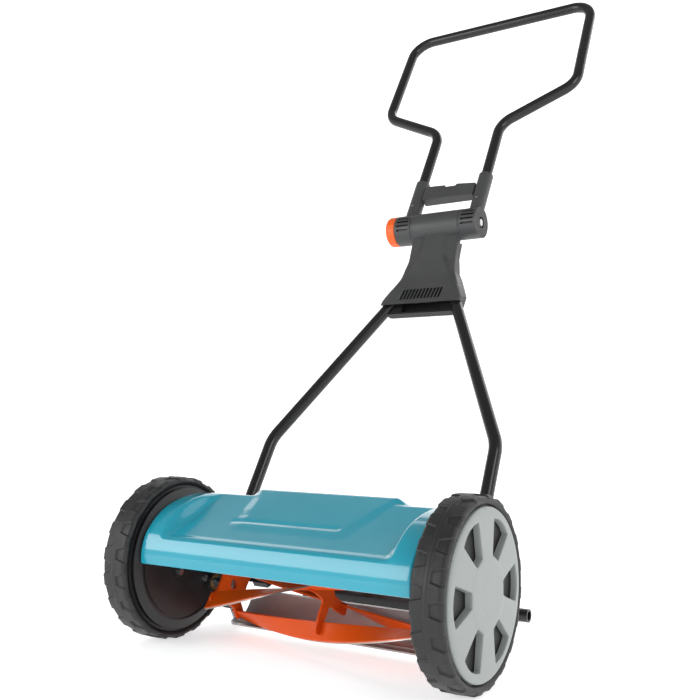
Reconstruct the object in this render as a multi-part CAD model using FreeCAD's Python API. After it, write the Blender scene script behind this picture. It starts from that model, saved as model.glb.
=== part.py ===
"""Push reel mower: two geared wheels drive a four-blade reel over a bed knife, with a rear
roller and a folding loop handle.

The model is built with the wheel axle over y = 0: +X is the operator's left, +Y points back
towards the operator, +Z is up and the ground is z = 0. Before it is written, everything is
moved forward, so that the origin lies under the middle of the whole machine. Millimetres.
"""

import FreeCAD
import Part

import math
import os

from FreeCAD import Vector

# ---------------------------------------------------------------- driving dimensions
FIT = 0.05                  # radial clearance of every running fit
GAP = 0.4                   # clearance between parts that only pass each other

WHEEL_R = 108.8             # over the tread
WHEEL_IN = 205.0            # inner face of the wheel, from the centre plane
WHEEL_OUT = 244.7           # outer face of the tyre
AXLE_Z = WHEEL_R
AXLE_R = 7.0
AXLE_END = 242.5
HUBCAP_R = 95.6
HUBCAP_FACE = 248.3
BARREL_R = 97.4             # tyre seat of the rim
WEB_IN, WEB_OUT = 234.5, 238.0
LUGS = 20                   # tread blocks in each of the two rows

CUT_WIDTH = 330.0
GEAR_MODULE = 2.0
RING_TEETH = 79
PINION_TEETH = 13
BACKLASH = 0.30
GEAR_CENTRES = GEAR_MODULE * (RING_TEETH - PINION_TEETH) / 2.0
REEL_ANGLE = math.radians(-37.6)      # from the axle down to the reel shaft
REEL_Y = GEAR_CENTRES * math.cos(REEL_ANGLE)
REEL_Z = AXLE_Z + GEAR_CENTRES * math.sin(REEL_ANGLE)
REEL_R = 57.0
BLADES = 4
BLADE_TWIST = math.radians(99.7)      # over the cutting width
BLADE_START = math.radians(22.1)      # at the middle, measured from straight down, forwards
BLADE_DEPTH = 25.0
BLADE_LEAN = (-4.0, 22.0)             # degrees off the radius: at the middle, and gained by the end
BLADE_THICK = 3.0
SPIDER_X = 158.0
SPIDER_THICK = 3.0
STUB_R = 8.0
JOURNAL_R = 6.0
SHAFT_END = 231.5

PLATE_IN, PLATE_OUT = 198.0, 203.0    # side plates
PLATE_R = 94.0
COVER_END = 197.0
COVER_WALL = 2.5

ROLLER_Y = 255.0
ROLLER_R = 29.0
ROLLER_HALF = 164.0
ROLLER_AXLE_R = 9.5
CATCHER_PIN_R = 9.0                   # the axle's ends, outside the arms
ROLLER_AXLE_END = 195.0
ARM_IN, ARM_OUT = 168.5, 176.5
ARM_PIVOT = (146.0, 88.0)
ARM_LOCK = 32.0                       # pivot to locking bolt
ARM_TRAVEL = math.radians(30.0)

TUBE_R = 9.0
TUBE_WALL = 1.5
HINGE_Y, HINGE_Z = 382.0, 608.0
HINGE_R = 25.0
BARREL_HALF = 44.5
RING_END = 73.5
KNOB_END = 91.0
LOOP_LEAN = math.radians(31.0)        # upper handle, back from upright
LOOP_TOP = 506.0                      # hinge axis to the top bar, along the handle
SLEEVE_X = 58.8
SLEEVE_R = 12.0
SLEEVE_TOP = 103.0                    # along the handle from the hinge axis

X_AXIS = Vector(1, 0, 0)
parts = {}


# ---------------------------------------------------------------- helpers
def cyl(x0, x1, r, y, z):
    """Cylinder along X between two stations."""
    return Part.makeCylinder(r, x1 - x0, Vector(x0, y, z), X_AXIS)


def ring(x0, x1, r_out, r_in, y, z):
    """Tube along X."""
    return cyl(x0, x1, r_out, y, z).cut(cyl(x0 - 1, x1 + 1, r_in, y, z))


def box(x0, x1, y0, y1, z0, z1):
    return Part.makeBox(x1 - x0, y1 - y0, z1 - z0, Vector(x0, y0, z0))


def polygon(points):
    return Part.Face(Part.makePolygon([Vector(*p) for p in points + points[:1]]))


def prism(points, x0, x1):
    """Outline given as (y, z), drawn along X."""
    return polygon([(x0, y, z) for y, z in points]).extrude(Vector(x1 - x0, 0, 0))


def turned(points, y, z):
    """Outline given as (x, radius), turned about an axis along X."""
    face = polygon([(x, y, z + r) for x, r in points])
    return face.revolve(Vector(0, y, z), X_AXIS, 360)


def bar(a, b, r):
    """Round bar between two points."""
    a, b = Vector(*a), Vector(*b)
    return Part.makeCylinder(r, (b - a).Length, a, b - a)


def hexagon(x0, x1, flats, y, z):
    r = flats / math.sqrt(3.0)
    turn = [math.radians(60 * k + 30) for k in range(6)]
    return prism([(y + r * math.cos(t), z + r * math.sin(t)) for t in turn], x0, x1)


def mirrored(shape):
    return shape.mirror(Vector(0, 0, 0), X_AXIS)


def fused(shapes):
    shapes = list(shapes)
    whole = shapes[0].fuse(shapes[1:]) if len(shapes) > 1 else shapes[0]
    return whole.removeSplitter()


def group(shapes):
    """Identical loose pieces that share one node."""
    return Part.makeCompound(list(shapes))


def rounded_path(points, radius):
    """Wire of straight runs through the points, with a tangent arc at each corner."""
    points = [Vector(*p) for p in points]
    edges, start = [], points[0]
    for before, corner, after in zip(points, points[1:], points[2:]):
        into, out = (corner - before).normalize(), (after - corner).normalize()
        half_turn = into.getAngle(out) / 2.0
        back = radius * math.tan(half_turn)
        tangent_in, tangent_out = corner - into * back, corner + out * back
        to_centre = (out - into).normalize()
        middle = corner + to_centre * (radius / math.cos(half_turn) - radius)
        edges.append(Part.LineSegment(start, tangent_in).toShape())
        edges.append(Part.Arc(tangent_in, middle, tangent_out).toShape())
        start = tangent_out
    edges.append(Part.LineSegment(start, points[-1]).toShape())
    return Part.Wire(edges)


def swept(path, r):
    first = path.OrderedEdges[0]
    at = first.valueAt(first.FirstParameter)
    along = first.tangentAt(first.FirstParameter)
    disc = Part.Face(Part.Wire(Part.makeCircle(r, at, along)))
    return path.makePipe(disc)


def tube(points, radius, r_out, wall):
    path = rounded_path(points, radius)
    return swept(path, r_out).cut(swept(path, r_out - wall))


def involute_point(base_r, r):
    """Angle by which an involute has unrolled when it reaches radius r."""
    roll = math.sqrt(max((r / base_r) ** 2 - 1.0, 0.0))
    return roll - math.atan(roll)


def gear_outline(teeth, root_r, tip_r, thinning, phase):
    """Closed outline of an external gear as (y, z) about its own centre."""
    pitch_r = GEAR_MODULE * teeth / 2.0
    base_r = pitch_r * math.cos(math.radians(20.0))
    half_at_pitch = (math.pi * GEAR_MODULE / 2.0 - thinning) / (2.0 * pitch_r)
    flank_start = max(root_r, base_r)
    radii = [flank_start + (tip_r - flank_start) * k / 3.0 for k in range(4)]
    half = [half_at_pitch + involute_point(base_r, pitch_r) - involute_point(base_r, r)
            for r in radii]
    if root_r < flank_start - 0.01:
        radii, half = [root_r] + radii, [half[0]] + half
    outline = []
    for k in range(teeth):
        middle = phase + 2.0 * math.pi * k / teeth
        rising = [(r, middle - h) for r, h in zip(radii, half)]
        falling = [(r, middle + h) for r, h in zip(reversed(radii), reversed(half))]
        outline += [(r * math.cos(t), r * math.sin(t)) for r, t in rising + falling]
    return outline


def about(outline, y, z):
    return [(y + a, z + b) for a, b in outline]


# ---------------------------------------------------------------- wheels
def rim():
    """Plastic wheel body: hub, web, tyre seat and the internal ring gear."""
    z = AXLE_Z
    body = fused([
        ring(207.0, WEB_OUT + 0.6, BARREL_R, 93.0, 0, z),
        ring(WEB_IN, WEB_OUT, 93.5, 12.0, 0, z),
        ring(207.5, WEB_OUT, 17.0, 9.0, 0, z),
        ring(213.0, WEB_IN + 0.5, 88.0, 82.5, 0, z)])
    gear = cyl(213.0, 229.0, 85.0, 0, z)
    space = gear_outline(RING_TEETH, 77.8, 81.5, -BACKLASH / 2.0, REEL_ANGLE)
    body = body.fuse(gear.cut(prism(about(space, 0, z), 212.0, 230.0)))
    slots = [box(WEB_IN - 1, WEB_OUT + 1, -4.5, 4.5, z + 36.2, z + 40.4).rotate(
        Vector(0, 0, z), X_AXIS, 60 + 120 * k) for k in range(3)]
    return body.cut(slots).removeSplitter()


def bush():
    """Plain bush pressed into the hub."""
    return ring(207.5, WEB_OUT, 9.0, AXLE_R + FIT, 0, AXLE_Z)


def tyre():
    """Ribbed tyre: a ring with two staggered rows of tread blocks."""
    z = AXLE_Z
    low = WHEEL_R - 3.4
    body = turned([(208.6, BARREL_R), (WHEEL_IN, 101.6), (WHEEL_IN, 105.6), (208.6, WHEEL_R),
                   (241.0, WHEEL_R), (WHEEL_OUT, 104.4), (WHEEL_OUT, 99.8), (242.0, BARREL_R)],
                  0, z)
    middle = (WHEEL_IN + WHEEL_OUT) / 2.0
    cuts = [ring(middle - 1.2, middle + 1.2, WHEEL_R + 1, low, 0, z)]
    for k in range(LUGS):
        for side, lag in ((-1, 0.0), (1, 0.5)):
            x0, x1 = sorted((middle + side * 3.5, middle + side * 21.0))
            groove = box(x0, x1, -3.2, 3.2, z + low, z + WHEEL_R + 2)
            cuts.append(groove.rotate(Vector(0, 0, z), X_AXIS, 360.0 * (k + lag) / LUGS))
    return body.cut(cuts).removeSplitter()


def hubcap():
    """Dished cap with six windows, walled down to the web, and three clips."""
    z = AXLE_Z
    back, wall = WEB_OUT + 1.0, 2.2
    face = [(back, HUBCAP_R), (243.6, HUBCAP_R), (245.6, 92.0), (246.6, 82.0),
            (247.6, 45.0), (HUBCAP_FACE, 38.0), (HUBCAP_FACE, 0.0)]
    body = turned(face + [(back, 0.0)], 0, z)
    inner = [(back - 1, HUBCAP_R - wall), (243.0, HUBCAP_R - wall), (244.4, 82.0),
             (245.4, 45.0), (245.6, 0.0), (back - 1, 0.0)]
    hollow = turned(inner, 0, z)

    def window(grow, angle):
        """Trapezoid opening, wider outside, between two radii."""
        inner_r, outer_r = 44.0 - grow, 79.0 + grow
        a, b = math.radians(10.0), math.radians(14.5)
        corners = [(inner_r, -a), (outer_r, -b), (outer_r + 2.5, 0.0), (outer_r, b),
                   (inner_r, a)]
        points = [(r * math.cos(t), z + r * math.sin(t) + math.copysign(grow, t) * (t != 0))
                  for r, t in corners]
        return prism(points, back - 2, HUBCAP_FACE + 1).rotate(Vector(0, 0, z), X_AXIS, angle)

    hollow = hollow.cut([window(1.8, 60 * k) for k in range(6)])
    body = body.cut(hollow).cut([window(0.0, 60 * k) for k in range(6)])
    clips = []
    for k in range(3):
        leg = box(231.5, 246.0, -3.5, 3.5, z + 37.0, z + 39.5)
        hook = box(231.5, WEB_IN - 0.5, -3.5, 3.5, z + 37.0, z + 41.5)
        clips += [leg.rotate(Vector(0, 0, z), X_AXIS, 60 + 120 * k),
                  hook.rotate(Vector(0, 0, z), X_AXIS, 60 + 120 * k)]
    return body.fuse(clips).removeSplitter()


def axle():
    """Flanged stub axle bolted to the side plate."""
    z = AXLE_Z
    body = fused([cyl(193.5, PLATE_IN, 30.0, 0, z), cyl(193.5, AXLE_END, AXLE_R, 0, z),
                  cyl(PLATE_IN, PLATE_OUT, 9.0, 0, z), cyl(PLATE_OUT, 207.0, 9.0, 0, z)])
    return body.cut(ring(239.6, 241.0, AXLE_R + 1, 6.0, 0, z))


def wheel_set():
    rim_left, tyre_left, cap_left, bush_left = rim(), tyre(), hubcap(), bush()
    axle_left = axle()
    for bolt_y, bolt_z in AXLE_BOLTS:
        axle_left = axle_left.cut(cyl(190, PLATE_IN + 1, 2.6, bolt_y, bolt_z))
    washer = ring(WEB_OUT + 0.2, 239.4, 11.0, AXLE_R + FIT, 0, AXLE_Z)
    clip = ring(239.7, 240.9, 9.5, 6.0, 0, AXLE_Z).cut(box(239, 242, -2, 2, AXLE_Z, AXLE_Z + 12))
    parts["left_rim"], parts["right_rim"] = rim_left, mirrored(rim_left)
    parts["left_tyre"], parts["right_tyre"] = tyre_left, mirrored(tyre_left)
    parts["left_hubcap"], parts["right_hubcap"] = cap_left, mirrored(cap_left)
    parts["left_bush"], parts["right_bush"] = bush_left, mirrored(bush_left)
    parts["left_axle"], parts["right_axle"] = axle_left, mirrored(axle_left)
    parts["axle_washers"] = group([washer, mirrored(washer)])
    parts["axle_circlips"] = group([clip, mirrored(clip)])


# ---------------------------------------------------------------- side plates and frame
AXLE_BOLTS = [(23.7 * math.cos(t), AXLE_Z + 23.7 * math.sin(t))
              for t in [math.radians(222.0 + 120.0 * k) for k in range(3)]]
BEARING_BOLTS = [(REEL_Y + s * 15.0, REEL_Z - s * 6.8) for s in (-1, 1)]
COVER_BOLTS = [(-77.0, 140.0), (40.0, 182.5)]
MEMBER = (113.0, 127.0, 60.0, 104.0)          # rear cross-member: y and z limits
MEMBER_BOLTS = [(120.0, 70.0), (120.0, 94.0)]
TIE_ROD = (-52.0, 148.0)
ADJUST_FOOT = (97.0, 9.0)                     # where the spring stands on the bed tab
ADJUST_LEAN = math.radians(30.0)
BED_LIFT = 25.0                               # spring length
LOWER_END = (188.3, 84.0, AXLE_Z)
LOWER_BEND = (184.2, 173.8, 265.3)
LOWER_TOP = (42.0, 334.4, 500.8)
TUBE_SLOPE = (LOWER_BEND[1] - LOWER_END[1]) / (LOWER_BEND[2] - LOWER_END[2])
TUBE_BOLTS = [(LOWER_END[1] + TUBE_SLOPE * (z - LOWER_END[2]), z) for z in (126.0, 158.0)]


def adjust_point(t, across=0.0):
    """Point on the adjuster's line, t above the bed tab, as (y, z)."""
    s, c = math.sin(ADJUST_LEAN), math.cos(ADJUST_LEAN)
    return (ADJUST_FOOT[0] - t * s + across * c, ADJUST_FOOT[1] + t * c + across * s)


def about_pivot(r, angles):
    """Points on an arc about the roller arm's pivot, as (y, z)."""
    y, z = ARM_PIVOT
    return [(y + r * math.cos(t), z + r * math.sin(t)) for t in angles]


def arm_arc(margin_degrees):
    """Angles that the locking bolt sweeps, with a margin at both ends."""
    y, z = ARM_PIVOT
    top = math.atan2(ROLLER_R - z, ROLLER_Y - y) + math.radians(margin_degrees)
    sweep = ARM_TRAVEL + 2 * math.radians(margin_degrees)
    return [top - sweep * k / 8 for k in range(9)]


def arc_slot(half_width, margin_degrees, x0, x1):
    angles = arm_arc(margin_degrees)
    outline = about_pivot(ARM_LOCK + half_width, angles)
    return prism(outline + about_pivot(ARM_LOCK - half_width, angles[::-1]), x0, x1)


def side_plate():
    """Moulded plate: a dished gear cover with lobes for the bed, the roller and the handle."""
    z = AXLE_Z
    disc = turned([(PLATE_OUT, 0), (PLATE_OUT, PLATE_R), (201.5, PLATE_R), (PLATE_IN, 83.0),
                   (PLATE_IN, 0)], 0, z)
    sill = ring(PLATE_OUT, 211.5, 91.6, 89.4, 0, z)
    outline = [(60, 30), (84, 28), (98, 40), (116, 56), (140, 56), (150, 104), (134, 112),
               (124, 158), (120, 170), (104, 168), (60, 150)]
    lobe = prism(outline, PLATE_IN, PLATE_OUT)
    y, pz = ARM_PIVOT
    sector = about_pivot(45.0, arm_arc(20.0)) + about_pivot(16.0, [
        math.radians(a) for a in (-120, -160, -200, -240, -280, -320)])
    pad = prism(sector, ARM_OUT + GAP, PLATE_OUT)
    boss = cyl(191.0, PLATE_IN, 11.5, REEL_Y, REEL_Z)
    lug = [adjust_point(BED_LIFT + a, b) for a, b in ((0, -7), (0, 7), (12, 7), (12, -7))]
    bracket = prism(lug, 180.0, PLATE_IN)
    body = fused([disc, sill, lobe, pad, boss, bracket])
    groove = ring(PLATE_IN - 1, PLATE_IN + 1.5, 81.0, 78.0, 0, z)
    groove = groove.cut(box(190, 204, 60, 100, 0, 200))
    cuts = [groove, cyl(190, 206, 9.0, 0, z), cyl(190, 206, 10.0, REEL_Y, REEL_Z)]
    cuts += [cyl(190, 206, 2.6, *at) for at in AXLE_BOLTS + BEARING_BOLTS]
    cuts += [cyl(190, 206, 2.3, *at) for at in COVER_BOLTS]
    cuts += [cyl(190, 206, 3.1, *at) for at in MEMBER_BOLTS + TUBE_BOLTS]
    cuts += [cyl(160, 206, 4.0, y, pz), cyl(190, 206, 5.0, *TIE_ROD)]
    low, high = adjust_point(-20), adjust_point(60)
    cuts.append(bar((187.0,) + low, (187.0,) + high, 3.0 + FIT))
    cuts += [arc_slot(3.6, 7.0, 170.0, 210.0), arc_slot(6.0, 14.0, 197.0, 210.0)]
    return body.cut(cuts).removeSplitter()


def headed_bolt(x_head, x_end, r, flats, head, at):
    """Hex bolt along X whose head stands on the side away from its end."""
    way = 1 if x_end > x_head else -1
    x0, x1 = sorted((x_head, x_end))
    h0, h1 = sorted((x_head, x_head - way * head))
    return cyl(x0, x1, r, *at).fuse(hexagon(h0, h1, flats, *at))


def frame():
    left = side_plate()
    parts["left_side_plate"], parts["right_side_plate"] = left, mirrored(left)
    y0, y1, z0, z1 = MEMBER
    end = PLATE_IN
    tubular = box(-end, end, y0, y1, z0, z1).cut(
        box(-end + 3, end - 3, y0 + 1.5, y1 - 1.5, z0 + 1.5, z1 - 1.5))
    holes = [cyl(end - 4, end + 1, 3.0, *at) for at in MEMBER_BOLTS]
    parts["rear_cross_member"] = tubular.cut(holes + [mirrored(h) for h in holes])
    rod = fused([cyl(-PLATE_IN, PLATE_IN, 7.0, *TIE_ROD), cyl(-PLATE_OUT, PLATE_OUT, 5.0, *TIE_ROD)])
    parts["front_tie_rod"] = rod
    small = [headed_bolt(193.5, PLATE_OUT, 2.6, 8.0, 3.2, at) for at in AXLE_BOLTS]
    small += [headed_bolt(PLATE_IN, PLATE_OUT, 2.6, 8.0, 3.2, at) for at in BEARING_BOLTS]
    parts["plate_bolts"] = group(small + [mirrored(s) for s in small])
    heavy = [headed_bolt(PLATE_OUT, 190.0, 3.0, 8.0, 1.6, at) for at in MEMBER_BOLTS]
    heavy += [headed_bolt(LOWER_END[0] - TUBE_R - 2.4, PLATE_OUT, 3.0, 10.0, 4.0, at)
              for at in TUBE_BOLTS]
    parts["frame_bolts"] = group(heavy + [mirrored(s) for s in heavy])
    collar = ring(190.2, 191.0, 10.9, JOURNAL_R + FIT, REEL_Y, REEL_Z)
    bearing = collar.fuse(ring(191.0, 204.6, 10.0, JOURNAL_R + FIT, REEL_Y, REEL_Z))
    parts["reel_bearings"] = group([bearing, mirrored(bearing)])


# ---------------------------------------------------------------- cover
COVER_OUTLINE = [((-87.0, 114.5), (-85.6, 135.5), (-77.0, 154.5)),
                 ((-77.0, 154.5), (-57.0, 174.0), (-26.0, 188.4)),
                 ((-26.0, 188.4), (0.0, 193.9), (26.0, 194.8)),
                 ((26.0, 194.8), (68.0, 188.5), (104.0, 172.0))]


def cover_outline(x):
    """Closed outline of the filled cover at station x: four arcs and a closing line."""
    arcs = [Part.Arc(*[Vector(x, y, z) for y, z in arc]).toShape() for arc in COVER_OUTLINE]
    first, last = COVER_OUTLINE[0][0], COVER_OUTLINE[-1][2]
    closing = Part.LineSegment(Vector(x, *last), Vector(x, *first)).toShape()
    return Part.Face(Part.Wire(arcs + [closing]))


def hump(drop):
    """Raised pad over the middle of the cover, open below, lowered by a wall for its inside."""
    crest, front, rear = (48.6, 202.5), (-30.0, 176.0), (101.0, 176.0)
    low = 30.0
    side = [front, crest, rear, (rear[0], rear[1] - low), (front[0], front[1] - low)]
    body = prism([(y, z - drop) for y, z in side], -140.0, 140.0)
    flank = 106.2 - drop * 0.3
    for way in (1, -1):
        edge = [(way * flank, 203.0), (way * (flank + 18.0), 192.0),
                (way * (flank + 36.0), 150.0), (way * 200.0, 150.0), (way * 200.0, 210.0),
                (way * flank, 210.0)]
        cut = polygon([(x, -60.0, z) for x, z in edge]).extrude(Vector(0, 200.0, 0))
        body = body.cut(cut)
    return body


def cover():
    length = 2 * COVER_END
    filled = cover_outline(-COVER_END).extrude(Vector(length, 0, 0))
    inside = filled.copy()
    inside.translate(Vector(0, 2.2, -COVER_WALL))
    first, last = COVER_OUTLINE[0][0], COVER_OUTLINE[-1][2]
    mouth = prism([(first[0] + 2.4, first[1] + 3.0), (last[0] + 5, last[1] + 1.6),
                   (last[0] + 5, 90.0), (first[0] + 2.4, 90.0)], -COVER_END, COVER_END)
    shell = filled.fuse(hump(0.0)).cut([inside, mouth, hump(COVER_WALL)])
    posts = []
    for y, z in COVER_BOLTS:
        post = cyl(182.0, COVER_END, 9.0, y, z).common(filled)
        posts += [post, mirrored(post)]
    body = shell.fuse(posts)
    pilots = [cyl(180.0, COVER_END + 1, 2.0, *at) for at in COVER_BOLTS]
    body = body.cut(pilots + [mirrored(p) for p in pilots])
    parts["cover"] = body.removeSplitter()
    screw = [headed_bolt(PLATE_OUT, 186.0, 2.0, 6.5, 1.5, at) for at in COVER_BOLTS]
    parts["cover_screws"] = group(screw + [mirrored(s) for s in screw])


# ---------------------------------------------------------------- reel
def blade_angle(x):
    """Angle of the cutting edge at station x, from straight down, forwards."""
    return BLADE_START + BLADE_TWIST * x / CUT_WIDTH


def polar(r, phi):
    """Point at radius r and angle phi about the reel axis, as (y, z)."""
    return REEL_Y - r * math.sin(phi), REEL_Z - r * math.cos(phi)


def blade(index):
    """Flat strip wound into a helix: the outer edge is the cutting edge."""
    turn = 2 * math.pi * index / BLADES
    stations = 12
    sections = []
    for k in range(stations + 1):
        x = -CUT_WIDTH / 2 + CUT_WIDTH * k / stations
        phi = blade_angle(x) + turn
        rake = math.radians(BLADE_LEAN[0] + BLADE_LEAN[1] * 2 * x / CUT_WIDTH)
        y, z = polar(REEL_R, phi)
        inward = (math.sin(phi + rake), math.cos(phi + rake))
        across = (-math.cos(phi + rake), math.sin(phi + rake))
        corners = []
        for depth, side in ((0, 0), (1.9, 1), (BLADE_DEPTH, 1), (BLADE_DEPTH, 0)):
            thick = BLADE_THICK * side
            corners.append(Vector(x, y + depth * inward[0] + thick * across[0],
                                  z + depth * inward[1] + thick * across[1]))
        sections.append(Part.makePolygon(corners + corners[:1]))
    return Part.makeLoft(sections, True, False)


def spider(x, hub_r, bore):
    """Pressed plate with four arms that carry the blades at station x."""
    x0, x1 = x - SPIDER_THICK / 2, x + SPIDER_THICK / 2
    arm = [(hub_r - 4, -0.70), (30.0, -0.05), (49.0, -0.02), (50.0, 0.26), (47.0, 0.32),
           (34.0, 0.42), (hub_r, 0.80), (hub_r - 4, 1.20)]
    body = cyl(x0, x1, hub_r, REEL_Y, REEL_Z)
    for k in range(BLADES):
        phi = blade_angle(x) + 2 * math.pi * k / BLADES
        body = body.fuse(prism([polar(r, phi + t) for r, t in arm], x0, x1))
    if bore:
        body = body.cut(cyl(x - 5, x + 5, bore, REEL_Y, REEL_Z))
    return body.removeSplitter()


def pinion(x0, x1):
    """Pinion with a smooth bore inside and a ratchet recess outside."""
    outline = gear_outline(PINION_TEETH, 10.4, 14.9, BACKLASH / 2.0, REEL_ANGLE)
    body = prism(about(outline, REEL_Y, REEL_Z), x0, x1)
    bore = cyl(x0 - 1, x1 + 1, JOURNAL_R + FIT, REEL_Y, REEL_Z)
    recess = cyl(x1 - 6.0, x1 + 1, 7.4, REEL_Y, REEL_Z)
    notches = []
    for k in range(3):
        notch = box(x1 - 6.0, x1 + 1, REEL_Y - 9.0, REEL_Y + 9.0, REEL_Z - 1.9, REEL_Z + 1.9)
        notches.append(notch.rotate(Vector(0, REEL_Y, REEL_Z), X_AXIS, 60.0 * k))
    return body.cut([bore, recess] + notches)


def reel():
    blades = [blade(k) for k in range(BLADES)]
    start = SPIDER_X + SPIDER_THICK / 2
    stub = fused([cyl(start, start + 3.0, 15.0, REEL_Y, REEL_Z),
                  cyl(start, 190.0, STUB_R, REEL_Y, REEL_Z),
                  cyl(start, SHAFT_END, JOURNAL_R, REEL_Y, REEL_Z)])
    shaft = group([stub, mirrored(stub)])
    cuts = []
    for way in (1, -1):
        x0, x1 = sorted((way * 223.9, way * 228.1))
        cuts.append(box(x0, x1, REEL_Y - 8, REEL_Y + 8, REEL_Z - 1.55, REEL_Z + 1.55))
        g0, g1 = sorted((way * 229.6, way * 230.8))
        cuts.append(ring(g0, g1, JOURNAL_R + 1, 5.0, REEL_Y, REEL_Z))
    parts["reel_stubs"] = shaft.cut(cuts)
    for k, one in enumerate(blades):
        parts["blade_%d" % (k + 1)] = one
    for name, x, hub_r, bore in (("right", -SPIDER_X, 28.0, 7.0), ("centre", 0.0, 14.0, 0.0),
                                 ("left", SPIDER_X, 28.0, 7.0)):
        notched = spider(x, hub_r, bore).cut(blades)
        parts["spider_%s" % name] = max(notched.Solids, key=lambda solid: solid.Volume)
    teeth = pinion(213.5, 229.3)
    parts["left_pinion"], parts["right_pinion"] = teeth, mirrored(teeth)
    idle = box(224.0, 228.0, REEL_Y - 6.6, REEL_Y + 6.6, REEL_Z - 1.5, REEL_Z + 1.5)
    driving = box(-228.0, -224.0, REEL_Y - 5.2, REEL_Y + 8.4, REEL_Z - 1.5, REEL_Z + 1.5)
    parts["drive_pawls"] = group([idle, driving])
    clip = ring(229.7, 230.7, 8.5, 5.0, REEL_Y, REEL_Z).cut(
        box(229, 231, REEL_Y - 1.6, REEL_Y + 1.6, REEL_Z, REEL_Z + 12))
    parts["pinion_circlips"] = group([clip, mirrored(clip)])


# ---------------------------------------------------------------- bed knife
KNIFE = (62.0, 84.0, 9.5, 12.0)
BED_IN, BED_OUT = REEL_R + 5.0, REEL_R + 7.0


def bed():
    """Curved carrier behind the reel, its end tabs, the knife and the adjusters."""
    def arc_point(r, degrees):
        t = math.radians(degrees)
        return REEL_Y + r * math.cos(t), REEL_Z + r * math.sin(t)

    bottom, top = -62.0, -19.0
    inner = Part.Arc(*[Vector(0, *arc_point(BED_IN, a)) for a in (bottom, -40.0, top)]).toShape()
    outer = Part.Arc(*[Vector(0, *arc_point(BED_OUT, a)) for a in (top, -40.0, bottom)]).toShape()
    ends = [Part.makeLine(inner.Vertexes[1].Point, outer.Vertexes[0].Point),
            Part.makeLine(outer.Vertexes[1].Point, inner.Vertexes[0].Point)]
    half = CUT_WIDTH / 2 + 4.5
    sheet = Part.Face(Part.Wire([inner, ends[0], outer, ends[1]])).extrude(Vector(2 * half, 0, 0))
    sheet.translate(Vector(-half, 0, 0))
    foot = box(-half, half, 74.0, 86.0, KNIFE[3], KNIFE[3] + 2.2)
    lip_y, lip_z = arc_point(BED_OUT - 1.6, top)
    lip = box(-half, half, lip_y - 0.5, lip_y + 7.0, lip_z - 1.2, lip_z + 0.8)
    tabs = []
    for way in (1, -1):
        x0, x1 = sorted((way * (half - 2.0), way * half))
        cheek = [(74.0, KNIFE[3]), (86.0, KNIFE[3]), adjust_point(-2.5, -3.0),
                 adjust_point(0.0, -3.0), arc_point(BED_OUT, -40.0), arc_point(BED_IN, -50.0)]
        tabs.append(prism(cheek, x0, x1))
        t0, t1 = sorted((way * (half - 2.0), way * 194.5))
        tab = [adjust_point(a, b) for a, b in ((-2.5, -7.0), (0, -7.0), (0, 7.0), (-2.5, 7.0))]
        tabs.append(prism(tab, t0, t1))
    carrier = fused([sheet, foot, lip] + tabs)
    y0, y1, z0, z1 = KNIFE
    knife = prism([(y0, z1), (y0 + 1.2, z0), (y1, z0), (y1, z1)], -half, half)
    screws, adjusters, springs = [], [], []
    for k in range(5):
        x = -half + 16.0 + (2 * half - 32.0) * k / 4
        shank = Part.makeCylinder(2.0, z1 + 0.6 - z0 - 0.2, Vector(x, 78.0, z0 + 0.2))
        head = Part.makeCylinder(3.2, 1.6, Vector(x, 78.0, z1 + 0.6))
        screw = shank.fuse(head)
        carrier, knife = carrier.cut(screw), knife.cut(screw)
        screws.append(screw)
    for way in (1, -1):
        x = way * 187.0
        a, b = (x,) + adjust_point(-2.5), (x,) + adjust_point(BED_LIFT + 22.0)
        c = (x,) + adjust_point(-5.2)
        adjusters.append(bar(a, b, 3.0).fuse(bar(c, a, 4.4)))
        carrier = carrier.cut(bar(c, b, 3.0))
        springs.append(spring(x))
    parts["bed_carrier"] = carrier
    parts["bed_knife"] = knife
    parts["knife_screws"] = group(screws)
    parts["adjuster_screws"] = group(adjusters)
    parts["adjuster_springs"] = group(springs)


def spring(x):
    """Compression spring standing on the bed tab around the adjuster screw."""
    coil_r, wire_r, turns = 4.5, 0.8, 6.0
    height = BED_LIFT - 2 * wire_r - 0.6
    path = Part.makeHelix(height / turns, height, coil_r)
    disc = Part.Wire(Part.makeCircle(wire_r, Vector(coil_r, 0, 0), Vector(0, 1, 0)))
    coil = Part.Wire(path).makePipeShell([disc], True, True)
    coil.rotate(Vector(0, 0, 0), X_AXIS, math.degrees(ADJUST_LEAN))
    coil.translate(Vector(x, *adjust_point(wire_r + 0.3)))
    return coil


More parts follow.
